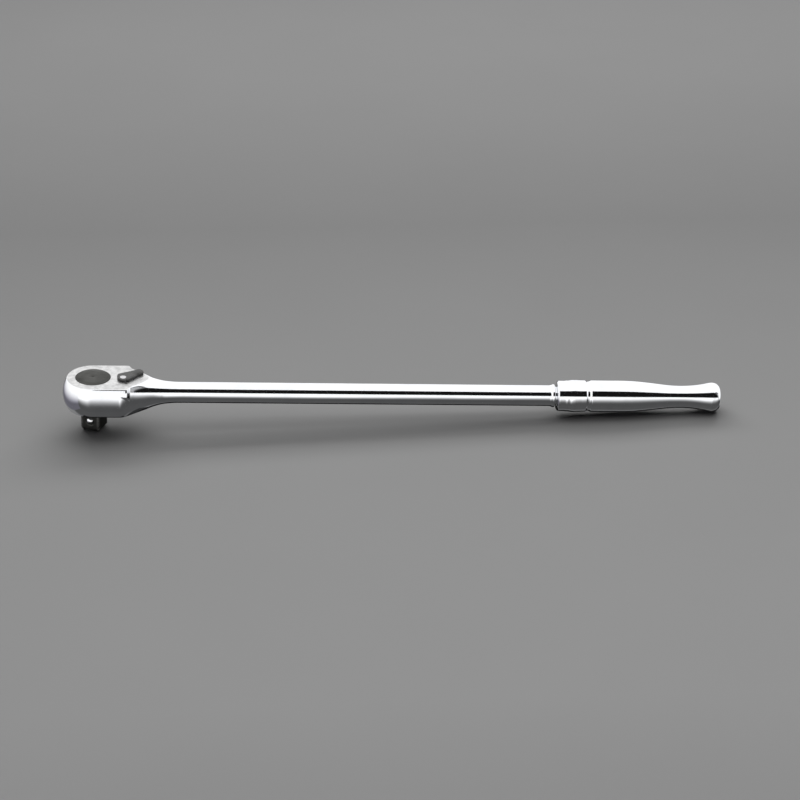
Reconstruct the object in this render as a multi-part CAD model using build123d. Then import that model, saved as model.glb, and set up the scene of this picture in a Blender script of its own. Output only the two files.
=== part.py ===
from build123d import *
import math
import os

os.makedirs("parts", exist_ok=True)

# ---------------------------------------------------------------- driving dimensions (mm)
# frame: origin on the drive axis at the shoulder the socket seats on, +Z up the drive axis,
# +X along the handle towards the grip
HEAD_R = 18.9            # radius of the head's sphere and cylinder
AXIS_Z = 9.9             # height of the handle's own axis
HEAD_TOP = 19.8          # flat top face
HEAD_BOTTOM = 0.2        # flat bottom face, just above the drive shoulder
SHANK_R = 6.58
SHANK_END = 286.6        # end of the shank's bead, at the joint groove
TANG_R = 5.8             # plain tang inside the grip
TANG_END = 345.0
GRIP_START = 288.0
GRIP_END = 391.1

TEETH = 36               # fine-tooth drive gear
GEAR_TIP_R = 12.7
GEAR_ROOT_R = 11.8
GEAR_Z0, GEAR_Z1 = 4.0, 15.2
GEAR_CAVITY_R = 13.1
CAVITY_FLOOR = 3.5       # top of the gasket
CAVITY_ROOF = 16.0
TOP_JOURNAL_R = 10.64
LOW_JOURNAL_R = 9.6
DISC_TOP = 20.1          # round end of the drive, standing just proud of the top face
RUN = 0.05               # radial clearance of the running fits

SQUARE = 12.7            # half-inch drive square
SQUARE_CORNER_R = 8.3    # radius over the rounded corners
SQUARE_LEN = 15.0
SQUARE_TURN = 68.2       # the square's turn about Z at rest, degrees
TIP_CHAMFER = 1.6

BALL_R = 2.5
BALL_OUT = 0.95          # how far the ball stands out of the face
BALL_Z = -8.0

PIVOT_X = 21.3           # common axis of the lever's stem and the pawl
STEM_R = 3.0
PAWL_Z0, PAWL_Z1 = 4.4, 14.4
PAWL_SWING = 5.4         # degrees from one engaged end to the middle
LEVER_TURN = 38.0        # degrees of the lever's tab off the handle's axis at rest
LEVER_Z0 = 19.95
LEVER_Z1 = 21.9          # flat top
MECH_Z = 9.6             # height of the plunger

COVER_T = 3.0
SCREWS = ((18.5, 10.5), (18.5, -10.5), (30.3, 0.0))


def polar(r, deg, cx=0.0, cy=0.0):
    a = math.radians(deg)
    return (cx + r * math.cos(a), cy + r * math.sin(a))


def cyl(r, z0, z1, x=0.0, y=0.0):
    return Pos(x, y, z0) * Cylinder(r, z1 - z0, align=(Align.CENTER, Align.CENTER, Align.MIN))


def ring(r_out, r_in, z0, z1, x=0.0, y=0.0):
    return cyl(r_out, z0, z1, x, y) - cyl(r_in, z0 - 1, z1 + 1, x, y)


def about_x(edges):
    """Turn a closed outline (x along the handle, y = radius) about the handle's axis."""
    return Pos(0, 0, AXIS_Z) * revolve(make_face(edges), axis=Axis.X, revolution_arc=360)


def save(shape, name):
    shape.label = name
    export_step(shape, f"parts/{name}.step")
    print(name, "solids", len(shape.solids()), "volume", round(shape.volume, 1), "valid", shape.is_valid)


# ---------------------------------------------------------------- handle body
blend_a = Bezier((16.4, HEAD_R), (18.7, HEAD_R), (21.4, 17.15))
cone = Line((21.4, 17.15), (25.4, 14.55))
neck = Spline((25.4, 14.55), (32.6, 10.75), (37.5, 8.8), (42.4, 7.5), (47.4, 6.86), (56.0, SHANK_R),
              tangents=((4.0, -2.45), (1, 0)))
nose = CenterArc((0, 0), HEAD_R, 90, 90)
head_line = nose + Line((0, HEAD_R), (16.4, HEAD_R)) + blend_a + cone + neck
bead = Line((56.0, SHANK_R), (282.9, SHANK_R)) + Spline(
    (282.9, SHANK_R), (284.2, 6.8), (285.1, 7.18), (286.1, 7.3), tangents=((1, 0), (1, 0)))
bead = bead + Polyline((286.1, 7.3), (SHANK_END, 7.0), (SHANK_END, TANG_R), (TANG_END - 1.0, TANG_R),
                       (TANG_END, TANG_R - 1.0), (TANG_END, 0), (-HEAD_R, 0))
blank = about_x(head_line + bead)
# on the upper half the head keeps its full round further back and then breaks steeply down to the cone;
# a leaning facet on each side joins it to the slimmer lower half
shoulder = about_x(Polyline((15.0, 12.0), (15.0, HEAD_R), (20.9, HEAD_R), (21.6, 18.6), (23.1, 16.045), (23.1, 12.0),
                            close=True))
upper = Pos(14, 0, AXIS_Z) * extrude(
    Plane.YZ * make_face(Polyline((-15.877, 0), (-20.635, 12), (20.635, 12), (15.877, 0), close=True)), 10)
blank += shoulder & upper
slab = Pos(180, 0, (HEAD_TOP + HEAD_BOTTOM) / 2) * Box(480, 80, HEAD_TOP - HEAD_BOTTOM)
body = blank & slab


# pear-shaped recess for the cover and its gasket
def pear(grow, z0, z1):
    outline = make_hull(
        Circle(14.4 + grow).edges()
        + [e for x, y in SCREWS[:2] for e in (Pos(x, y) * Circle(3.3 + grow)).edges()]
        + (Pos(SCREWS[2][0], SCREWS[2][1]) * Circle(3.0 + grow)).edges())
    return Pos(0, 0, z0) * extrude(outline, z1 - z0)


body -= pear(0.06, HEAD_BOTTOM - 1, CAVITY_FLOOR)
body -= cyl(GEAR_CAVITY_R, CAVITY_FLOOR - 0.2, CAVITY_ROOF)
body -= cyl(TOP_JOURNAL_R + RUN, CAVITY_ROOF - 1, HEAD_TOP + 1)
body -= ring(11.75, TOP_JOURNAL_R - 1, 17.2, 18.2)


# ---------------------------------------------------------------- pawl (made in the middle position)
def sector(r0, r1, a0, a1, z0, z1):
    outer = [polar(r1, a0 + (a1 - a0) * i / 16) for i in range(17)]
    inner = [polar(r0, a1 - (a1 - a0) * i / 16) for i in range(17)]
    return Pos(0, 0, z0) * extrude(make_face(Polyline(*outer, *inner, close=True)), z1 - z0)


def about_pivot(shape, deg):
    return Pos(PIVOT_X, 0, 0) * Rot(0, 0, deg) * Pos(-PIVOT_X, 0, 0) * shape


def gear_outline(tip, root, tip_half, root_half, fill=0.0):
    """Toothed outline with a tooth gap on the +X axis."""
    pts = []
    step = 360.0 / TEETH
    for k in range(TEETH):
        c = step * (k + 0.5)
        pts += [polar(root, c - root_half), polar(tip, c - tip_half), polar(tip, c + tip_half),
                polar(root, c + root_half)]
    return make_face(Polyline(*pts, close=True))


def pawl_half(sign):
    """One toothed end, in the position where it is in mesh with the gear."""
    tooth = None
    for k in (3, 4):
        c = sign * 10.0 * k
        # fills the gear's gap with 0.08 mm of room on the flanks
        root_h, tip_h = 3.35, 0.55
        pts = [polar(13.6, c - root_h), polar(12.62, c - root_h + 0.15), polar(11.95, c - tip_h),
               polar(11.95, c + tip_h), polar(12.62, c + root_h - 0.15), polar(13.6, c + root_h)]
        t = Pos(0, 0, PAWL_Z0) * extrude(make_face(Polyline(*pts, close=True)), PAWL_Z1 - PAWL_Z0)
        tooth = t if tooth is None else tooth + t
    lo, hi = (22.0, 44.0) if sign > 0 else (-44.0, -22.0)
    back = sector(12.98, 15.0, lo, hi, PAWL_Z0, PAWL_Z1)
    return tooth + back


end_minus = about_pivot(pawl_half(-1), PAWL_SWING)       # lifted from mesh to the middle position
end_plus = about_pivot(pawl_half(1), -PAWL_SWING)
web_pts = [(13.7, -6.0), (14.8, -6.5), (20.0, -5.35), (20.0, 5.35), (14.8, 6.5), (13.7, 6.0)]
web = Pos(0, 0, PAWL_Z0) * extrude(make_face(Polyline(*web_pts, close=True)), PAWL_Z1 - PAWL_Z0)
hub = cyl(5.6, PAWL_Z0, PAWL_Z1, PIVOT_X)
pawl_mid = web + hub + end_minus + end_plus
# the concave front between the toothed ends clears the gear in both engaged positions
front = sector(0.5, 13.6, -16.0, 16.0, PAWL_Z0 - 1, PAWL_Z1 + 1)
pawl_mid -= about_pivot(cyl(13.0, PAWL_Z0 - 1, PAWL_Z1 + 1) & sector(0.5, 14, -20, 20, PAWL_Z0 - 1, PAWL_Z1 + 1), PAWL_SWING)
pawl_mid -= about_pivot(cyl(13.0, PAWL_Z0 - 1, PAWL_Z1 + 1) & sector(0.5, 14, -20, 20, PAWL_Z0 - 1, PAWL_Z1 + 1), -PAWL_SWING)
pawl_mid -= front
pawl_mid -= cyl(STEM_R + RUN, PAWL_Z0 - 1, PAWL_Z1 + 1, PIVOT_X)


# inner pocket with two seats for the plunger and a low crest between them
def pivot_sector(r_list, z0, z1):
    pts = [polar(r, a, PIVOT_X) for r, a in r_list]
    inner = [polar(2.0, a, PIVOT_X) for r, a in reversed(r_list)]
    return Pos(0, 0, z0) * extrude(make_face(Polyline(*pts, *inner, close=True)), z1 - z0)


pocket = [(4.75, 180 + s) for s in (-70, -62, -54, -46, -38, -30)]
pocket += [(4.68, 158), (4.55, 166), (4.45, 173), (4.4, 180), (4.45, 187), (4.55, 194), (4.68, 202)]
pocket += [(4.75, 180 + s) for s in (30, 38, 46, 54, 62, 70)]
pawl_mid -= pivot_sector(pocket, MECH_Z - 1.45, MECH_Z + 1.45)
pawl = about_pivot(pawl_mid, -PAWL_SWING)                # at rest the -Y end is in mesh

# ---------------------------------------------------------------- room for the pawl in the head
pawl_room = cyl(6.2, CAVITY_FLOOR - 0.2, CAVITY_ROOF, PIVOT_X)
room_side = [(8.6, 9.2), (10.3, 11.2), (12.4, 12.8), (13.5, 12.7), (15.4, 9.2), (16.1, 7.3), (20.0, 6.1)]
room_pts = room_side + [(x, -y) for x, y in reversed(room_side)]
pawl_room += Pos(0, 0, CAVITY_FLOOR - 0.2) * extrude(make_face(Polyline(*room_pts, close=True)), CAVITY_ROOF - CAVITY_FLOOR + 0.2)
body -= pawl_room
body -= cyl(STEM_R + RUN, CAVITY_ROOF - 1, HEAD_TOP + 1, PIVOT_X)
for x, y in SCREWS:
    body -= cyl(1.5, 1.0, 9.6, x, y)
save(body, "handle_body")

save(pawl, "pawl")

# ---------------------------------------------------------------- grip
grip_pts = [
    (GRIP_START, 8.8), (288.7, 9.5), (289.2, 9.6), (292.5, 9.6), (293.8, 9.8), (294.4, 9.82), (295.0, 9.78),
    (295.6, 9.82), (296.7, 10.06), (297.6, 10.16), (298.8, 10.2), (300.6, 10.15), (302.6, 10.05), (305.7, 10.0),
    (306.2, 9.72), (306.8, 9.3), (307.9, 9.25), (308.5, 9.5), (309.1, 9.88), (309.6, 10.0), (312.2, 10.0)]
grip_line = Polyline(*grip_pts)
grip_swell = Spline((312.2, 10.0), (322.0, 10.0), (331.0, 9.98), (336.9, 9.74), (342.6, 9.24), (348.3, 8.62),
                    (354.0, 7.93), (359.8, 7.32), (366.0, 7.03), (371.2, 7.18), (377.0, 7.72), (380.8, 8.35),
                    (384.0, 9.02), (386.2, 9.32), (388.0, 9.1), (389.6, 8.45), (390.7, 7.5), (GRIP_END, 6.6),
                    tangents=((1, 0), (0.12, -1)))
tang_bore = TANG_END + 0.8
grip_tail = Polyline((GRIP_END, 6.6), (GRIP_END, 0), (tang_bore, 0), (tang_bore, TANG_R - 0.01),
                     (GRIP_START + 0.5, TANG_R - 0.01), (GRIP_START, TANG_R + 0.4), (GRIP_START, 8.8))
grip = about_x(grip_line + grip_swell + grip_tail)
save(grip, "grip_sleeve")

# ---------------------------------------------------------------- drive gear with its square
gear = Pos(0, 0, GEAR_Z0) * extrude(gear_outline(GEAR_TIP_R, GEAR_ROOT_R, 1.3, 4.2), GEAR_Z1 - GEAR_Z0)
top_journal = cyl(TOP_JOURNAL_R, GEAR_Z1 - 1, DISC_TOP)
top_journal = chamfer(top_journal.faces().sort_by(Axis.Z)[-1].edges(), 0.35)
gear += top_journal
gear += cyl(LOW_JOURNAL_R, 0.0, GEAR_Z0 + 1)
square = Pos(0, 0, -SQUARE_LEN) * Box(SQUARE, SQUARE, SQUARE_LEN + 2, align=(Align.CENTER, Align.CENTER, Align.MIN))
square &= cyl(SQUARE_CORNER_R, -SQUARE_LEN, 2.0)
square = chamfer(square.faces().sort_by(Axis.Z)[0].edges(), TIP_CHAMFER)
square = Rot(0, 0, SQUARE_TURN) * square
gear += square

BALL_DIR = SQUARE_TURN + 180.0                     # the ball looks out of this face
ball_plane = Plane(origin=(0, 0, BALL_Z), x_dir=(0, 0, 1),
                   z_dir=(math.cos(math.radians(BALL_DIR)), math.sin(math.radians(BALL_DIR)), 0))
BALL_C = SQUARE / 2 + BALL_OUT - BALL_R            # ball centre from the drive axis


def along_ball(solid):
    return ball_plane.location * solid


ball_hole = along_ball(Pos(0, 0, -3.0) * Cylinder(BALL_R + 0.05, 20, align=(Align.CENTER, Align.CENTER, Align.MIN)))
gear -= ball_hole
gear -= along_ball(Pos(0, 0, SQUARE / 2 - 0.55) * Cone(BALL_R + 0.05, 3.3, 0.6, align=(Align.CENTER, Align.CENTER, Align.MIN)))
save(gear, "drive_gear")
save(along_ball(Pos(0, 0, BALL_C) * Sphere(BALL_R)), "drive_detent_ball")


def coil(radius, wire, length, turns):
    """Coil spring along +Z from 0 to length, wire included."""
    path = Helix(pitch=(length - 2 * wire) / turns, height=length - 2 * wire, radius=radius)
    start = Plane(origin=path @ 0, z_dir=path % 0)
    return Pos(0, 0, wire) * sweep(start * Circle(wire), path=path, is_frenet=True)


seat = BALL_C - math.sqrt(BALL_R ** 2 - 1.75 ** 2)
save(along_ball(Pos(0, 0, -2.95) * coil(1.75, 0.3, seat + 2.95 - 0.12, 5)), "drive_detent_spring")

# ---------------------------------------------------------------- rings round the gear
save(ring(GEAR_CAVITY_R - 0.05, TOP_JOURNAL_R + 0.25, GEAR_Z1 + 0.15, CAVITY_ROOF - 0.02), "gear_thrust_washer")
seal = Pos(0, 0, 17.7) * Torus(TOP_JOURNAL_R + 0.55, 0.47)
save(seal, "gear_top_seal")

# ---------------------------------------------------------------- cover, gasket, screws
cover = pear(0.0, HEAD_BOTTOM, HEAD_BOTTOM + COVER_T)
cover -= cyl(LOW_JOURNAL_R + RUN, -1, 5)
for x, y in SCREWS:
    cover -= cyl(1.6, -1, 5, x, y)
    cover -= Pos(x, y, HEAD_BOTTOM - 0.01) * Cone(2.95, 1.6, 1.35, align=(Align.CENTER, Align.CENTER, Align.MIN))
save(cover, "cover_plate")

gasket = pear(0.0, HEAD_BOTTOM + COVER_T, CAVITY_FLOOR) - cyl(GEAR_CAVITY_R - 0.3, 2, 5)
gasket -= Pos(0, 0, -1) * pawl_room
gasket -= cyl(6.2, 2, 5, PIVOT_X)
for x, y in SCREWS:
    gasket -= cyl(1.6, 2, 5, x, y)
save(gasket, "cover_gasket")

screws = None
for x, y in SCREWS:
    s = cyl(1.48, 1.5, 9.0, x, y)
    s += Pos(x, y, HEAD_BOTTOM + 0.04) * Cone(2.8, 1.48, 1.32, align=(Align.CENTER, Align.CENTER, Align.MIN))
    s += cyl(1.48, HEAD_BOTTOM + 1.0, 2.0, x, y)
    s -= Pos(x, y, 0) * extrude(RegularPolygon(1.0, 6, major_radius=False), 1.35)
    screws = [s] if screws is None else screws + [s]
save(Compound(children=[s.solid() for s in screws]), "cover_screws")

# ---------------------------------------------------------------- reversing lever (made with the tab along +X)
outline = [(-7.3, 0.0), (-6.2, 2.9), (-4.3, 4.9), (0.6, 4.1), (5.6, 3.0), (9.4, 2.8), (11.0, 1.5),
           (11.0, -1.5), (9.4, -2.8), (5.6, -3.0), (0.6, -4.1), (-4.3, -4.9), (-6.2, -2.9)]
plate = make_face(Polyline(*outline, close=True))
plate = fillet(plate.vertices(), 0.7)
lever = Pos(0, 0, LEVER_Z0) * extrude(plate, LEVER_Z1 - LEVER_Z0)
stem = cyl(STEM_R, 4.0, LEVER_Z0 + 0.5)
stem -= ring(STEM_R + 1, 2.5, 14.75, 15.55)
stem -= ring(STEM_R + 1, 2.35, 17.3, 18.3)
plunger_bore = Pos(1.8, 0, MECH_Z) * Rot(0, -90, 0) * Cylinder(1.15, 6, align=(Align.CENTER, Align.CENTER, Align.MIN))
stem -= plunger_bore
lever += stem


def at_lever(shape):
    return Pos(PIVOT_X, 0, 0) * Rot(0, 0, LEVER_TURN) * shape


save(at_lever(lever), "reversing_lever")
save(at_lever(Pos(0, 0, 17.8) * Torus(2.35 + 0.33, 0.31)), "lever_seal_ring")
clip = ring(4.6, 2.52, 14.8, 15.5) - Pos(-4, 0, 15) * Box(8, 2.6, 3)
save(at_lever(clip), "lever_retaining_clip")

plunger = Pos(0.2, 0, MECH_Z) * Rot(0, -90, 0) * Cylinder(1.1, 3.7, align=(Align.CENTER, Align.CENTER, Align.MIN))
plunger += Pos(-3.5, 0, MECH_Z) * Rot(0, -90, 0) * Cone(1.1, 0.45, 0.65, align=(Align.CENTER, Align.CENTER, Align.MIN))
save(at_lever(plunger), "pawl_plunger")
save(at_lever(Pos(1.75, 0, MECH_Z) * Rot(0, -90, 0) * coil(0.78, 0.18, 1.5, 3)), "plunger_spring")
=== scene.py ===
import math

import bmesh
import bpy
import numpy as np
from mathutils import Matrix, Vector


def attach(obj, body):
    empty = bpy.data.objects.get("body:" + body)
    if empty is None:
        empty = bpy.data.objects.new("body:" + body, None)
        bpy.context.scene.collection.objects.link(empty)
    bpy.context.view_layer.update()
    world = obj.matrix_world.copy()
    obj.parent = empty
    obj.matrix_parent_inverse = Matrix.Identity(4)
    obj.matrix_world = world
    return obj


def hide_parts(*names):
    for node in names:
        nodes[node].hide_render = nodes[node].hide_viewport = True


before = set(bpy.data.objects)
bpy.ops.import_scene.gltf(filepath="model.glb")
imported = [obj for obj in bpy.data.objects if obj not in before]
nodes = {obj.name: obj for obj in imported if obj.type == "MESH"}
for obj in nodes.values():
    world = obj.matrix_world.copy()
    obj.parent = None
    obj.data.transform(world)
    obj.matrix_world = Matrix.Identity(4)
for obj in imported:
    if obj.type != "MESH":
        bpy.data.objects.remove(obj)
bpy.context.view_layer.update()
MM = 0.001

# ------------------------------------------------------------------ sizes, millimetres, row frame
HEAD_R = 18.9
AXIS_Z = 9.9
TOP, BOTTOM = 19.8, 0.2
SHANK_R = 6.58
TANG_R = 5.8
PIVOT = (21.3, 0.0)
LEVER_TURN = math.radians(38.0)
SQUARE_TURN = math.radians(68.2)
BALL_DIR = math.radians(248.2)
BALL_Z = -8.0
BALL_C = 6.35 + 0.95 - 2.5
SCREWS = ((18.5, 10.5), (18.5, -10.5), (30.3, 0.0))


# ------------------------------------------------------------------ mesh helpers
def build(name, verts, faces, smooth_deg=32.0):
    me = bpy.data.meshes.new(name)
    me.from_pydata([(x * MM, y * MM, z * MM) for x, y, z in verts], [], faces)
    ob = bpy.data.objects.new(name, me)
    bpy.context.scene.collection.objects.link(ob)
    clean(ob, smooth_deg)
    return ob


def clean(ob, smooth_deg=32.0, weld=1e-7):
    bm = bmesh.new()
    bm.from_mesh(ob.data)
    bmesh.ops.remove_doubles(bm, verts=bm.verts, dist=weld)
    bmesh.ops.dissolve_degenerate(bm, dist=weld, edges=bm.edges)
    loose = [v for v in bm.verts if not v.link_faces]
    bmesh.ops.delete(bm, geom=loose, context="VERTS")
    bmesh.ops.recalc_face_normals(bm, faces=bm.faces)
    bm.to_mesh(ob.data)
    bm.free()
    n = len(ob.data.polygons)
    ob.data.polygons.foreach_set("use_smooth", [True] * n)
    ob.data.set_sharp_from_angle(angle=math.radians(smooth_deg))
    ob.data.update()


def lathe(profile, segs, axis="Z", centre=(0.0, 0.0, 0.0)):
    """Turns (along, radius) points about an axis; radius 0 gives one pole point."""
    verts, rows = [], []
    for a, r in profile:
        if r < 1e-6:
            rows.append([len(verts)] * segs)
            verts.append(place(axis, centre, a, 0.0, 0.0))
        else:
            row = []
            for i in range(segs):
                t = 2 * math.pi * i / segs
                row.append(len(verts))
                verts.append(place(axis, centre, a, r * math.cos(t), r * math.sin(t)))
            rows.append(row)
    faces = []
    closed = profile[0][1] > 1e-6 or profile[-1][1] > 1e-6
    count = len(rows) if closed else len(rows) - 1
    for k in range(count):
        lo, hi = rows[k], rows[(k + 1) % len(rows)]
        for i in range(segs):
            j = (i + 1) % segs
            f = []
            for v in (lo[i], lo[j], hi[j], hi[i]):
                if v not in f:
                    f.append(v)
            if len(f) > 2:
                faces.append(tuple(f))
    return verts, faces


def place(axis, centre, a, u, v):
    if axis == "X":
        return (centre[0] + a, centre[1] + u, centre[2] + v)
    return (centre[0] + u, centre[1] + v, centre[2] + a)


def prism(outline, levels):
    """Stacks insets of an outline: levels are (z, inset); the outline is closed and convex enough to inset."""
    verts, faces, n = [], [], len(outline)
    for z, inset in levels:
        verts += [(x, y, z) for x, y in inset_outline(outline, inset)]
    for k in range(len(levels) - 1):
        for i in range(n):
            j = (i + 1) % n
            faces.append((k * n + i, k * n + j, (k + 1) * n + j, (k + 1) * n + i))
    faces.append(tuple(range(n - 1, -1, -1)))
    top = (len(levels) - 1) * n
    faces.append(tuple(range(top, top + n)))
    return verts, faces


def inset_outline(outline, d):
    if abs(d) < 1e-9:
        return list(outline)
    p = np.array(outline, float)
    q = np.roll(p, -1, 0) - p
    q /= np.linalg.norm(q, axis=1)[:, None]
    area = np.sum(p[:, 0] * np.roll(p[:, 1], -1) - np.roll(p[:, 0], -1) * p[:, 1])
    nrm = np.stack([-q[:, 1], q[:, 0]], 1) * (1 if area > 0 else -1)
    a, b = np.roll(nrm, 1, 0), nrm
    m = a + b
    m /= np.maximum(np.sum(m * b, 1), 0.35)[:, None]
    return [tuple(v) for v in p + m * d]


def round_outline(points, radius, steps=6):
    """Rounds the corners of a closed outline."""
    out, n = [], len(points)
    for i in range(n):
        p0, p1, p2 = (np.array(points[(i + k) % n], float) for k in (-1, 0, 1))
        a, b = p0 - p1, p2 - p1
        la, lb = np.linalg.norm(a), np.linalg.norm(b)
        r = min(radius, la * 0.46, lb * 0.46)
        s, e = p1 + a / la * r, p1 + b / lb * r
        for k in range(steps + 1):
            t = k / steps
            out.append(tuple((1 - t) ** 2 * s + 2 * t * (1 - t) * p1 + t * t * e))
    return out


def round_line(points, radius, steps=5):
    """Rounds the inner corners of an open line of (along, radius) points."""
    out = [tuple(points[0])]
    for i in range(1, len(points) - 1):
        p0, p1, p2 = (np.array(points[i + k], float) for k in (-1, 0, 1))
        a, b = p0 - p1, p2 - p1
        la, lb = np.linalg.norm(a), np.linalg.norm(b)
        r = min(radius, la * 0.46, lb * 0.46)
        s, e = p1 + a / la * r, p1 + b / lb * r
        for k in range(steps + 1):
            t = k / steps
            out.append(tuple((1 - t) ** 2 * s + 2 * t * (1 - t) * p1 + t * t * e))
    out.append(tuple(points[-1]))
    return out


def hermite(points, m0, m1, per=8):
    """Smooth curve through (x, y) points with the given end slopes."""
    x = np.array([p[0] for p in points], float)
    y = np.array([p[1] for p in points], float)
    d = np.diff(y) / np.diff(x)
    m = np.zeros(len(x))
    m[0], m[-1] = m0, m1
    for i in range(1, len(x) - 1):
        h0, h1 = x[i] - x[i - 1], x[i + 1] - x[i]
        m[i] = (d[i - 1] * h1 + d[i] * h0) / (h0 + h1)
    out = []
    for i in range(len(x) - 1):
        h = x[i + 1] - x[i]
        for k in range(per):
            t = k / per
            out.append((x[i] + t * h,
                        (2 * t ** 3 - 3 * t ** 2 + 1) * y[i] + (t ** 3 - 2 * t ** 2 + t) * h * m[i]
                        + (3 * t ** 2 - 2 * t ** 3) * y[i + 1] + (t ** 3 - t ** 2) * h * m[i + 1]))
    out.append((x[-1], y[-1]))
    return out


def cut(ob, verts, faces):
    """Takes a closed cutter away from a piece."""
    tool = build("cutter", verts, faces)
    mod = ob.modifiers.new("cut", "BOOLEAN")
    mod.operation = "DIFFERENCE"
    mod.solver = "EXACT"
    mod.object = tool
    bpy.context.view_layer.update()
    dg = bpy.context.evaluated_depsgraph_get()
    me = bpy.data.meshes.new_from_object(ob.evaluated_get(dg))
    ob.modifiers.clear()
    old = ob.data
    ob.data = me
    bpy.data.meshes.remove(old)
    bpy.data.objects.remove(tool)


def attribute(ob, name, fn):
    """Stores fn(x, y, z in mm, normals) as a number on every vertex."""
    me = ob.data
    n = len(me.vertices)
    co = np.zeros(n * 3, np.float32)
    me.vertices.foreach_get("co", co)
    co = co.reshape(-1, 3) / MM
    no = np.array([v.vector for v in me.vertex_normals], np.float32)
    at = me.attributes.get(name) or me.attributes.new(name, "FLOAT", "POINT")
    at.data.foreach_set("value", np.clip(fn(co[:, 0], co[:, 1], co[:, 2], no), 0, 1).astype(np.float32))


def ramp(v, a, b):
    t = np.clip((v - a) / (b - a), 0, 1)
    return t * t * (3 - 2 * t)


def hull(points):
    pts = sorted(set((round(x, 5), round(y, 5)) for x, y in points))

    def half(seq):
        h = []
        for p in seq:
            while len(h) > 1 and (h[-1][0] - h[-2][0]) * (p[1] - h[-2][1]) - (h[-1][1] - h[-2][1]) * (p[0] - h[-2][0]) <= 1e-7:
                h.pop()
            h.append(p)
        return h[:-1]
    return half(pts) + half(pts[::-1])


def circle(r, n=96, cx=0.0, cy=0.0):
    return [(cx + r * math.cos(2 * math.pi * i / n), cy + r * math.sin(2 * math.pi * i / n)) for i in range(n)]


def pear(grow):
    pts = circle(14.4 + grow, 160)
    for x, y in SCREWS[:2]:
        pts += circle(3.3 + grow, 64, x, y)
    return hull(pts + circle(3.0 + grow, 64, *SCREWS[2]))


# ------------------------------------------------------------------ handle: head, neck, shank, tang
def handle_profile():
    line = [(x, HEAD_R) for x in np.linspace(0.0, 16.4, 9)]
    for k in range(1, 17):
        t = k / 16
        b = ((1 - t) ** 2, 2 * t * (1 - t), t * t)
        line.append((b[0] * 16.4 + b[1] * 18.7 + b[2] * 21.4, b[0] * HEAD_R + b[1] * HEAD_R + b[2] * 17.15))
    for k in range(1, 11):
        t = k / 10
        line.append((21.4 + 4.0 * t, 17.15 - 2.6 * t))
    neck = [(25.4, 14.55), (32.6, 10.75), (37.5, 8.8), (42.4, 7.5), (47.4, 6.86), (56.0, SHANK_R)]
    line += hermite(neck, -2.45 / 4.0, 0.0, 12)[1:]
    line += [(x, SHANK_R) for x in np.linspace(60.0, 282.9, 46)]
    line += hermite([(282.9, SHANK_R), (284.2, 6.8), (285.1, 7.18), (286.0, 7.3)], 0.0, 0.0, 8)[1:]
    line += round_line([(286.0, 7.3), (286.6, 7.1), (286.6, TANG_R), (300.0, TANG_R)], 0.25)[1:]
    line += [(330.0, TANG_R), (344.0, TANG_R), (345.0, TANG_R - 1.0), (345.0, 0.0)]
    return line


def shoulder_radius(x, f, r):
    """Upper half of the head: full round further back, a leaning facet down to the slimmer lower half."""
    if f <= 0 or not 16.0 < x < 23.2:
        return r
    full = float(np.interp(x, (16.0, 20.9, 21.2, 21.45, 21.6, 21.75, 23.1), (HEAD_R, HEAD_R, 18.84, 18.72, 18.58, 18.35, 16.045)))
    facet = 15.877 / (math.cos(f) - 0.3965 * math.sin(f)) if math.cos(f) > 0.3965 * math.sin(f) else 99.0
    return max(r, min(full, facet))


def soft_flat(z, k=0.75):
    """Cuts heights (from the handle's axis) at the top and bottom faces with a small rounded edge."""
    hi, lo = TOP - AXIS_Z, BOTTOM - AXIS_Z
    h = np.maximum(k - np.abs(z - hi), 0) / k
    z = np.minimum(z, hi) - h * h * k / 4
    h = np.maximum(k - np.abs(z - lo), 0) / k
    return np.maximum(z, lo) + h * h * k / 4


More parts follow.
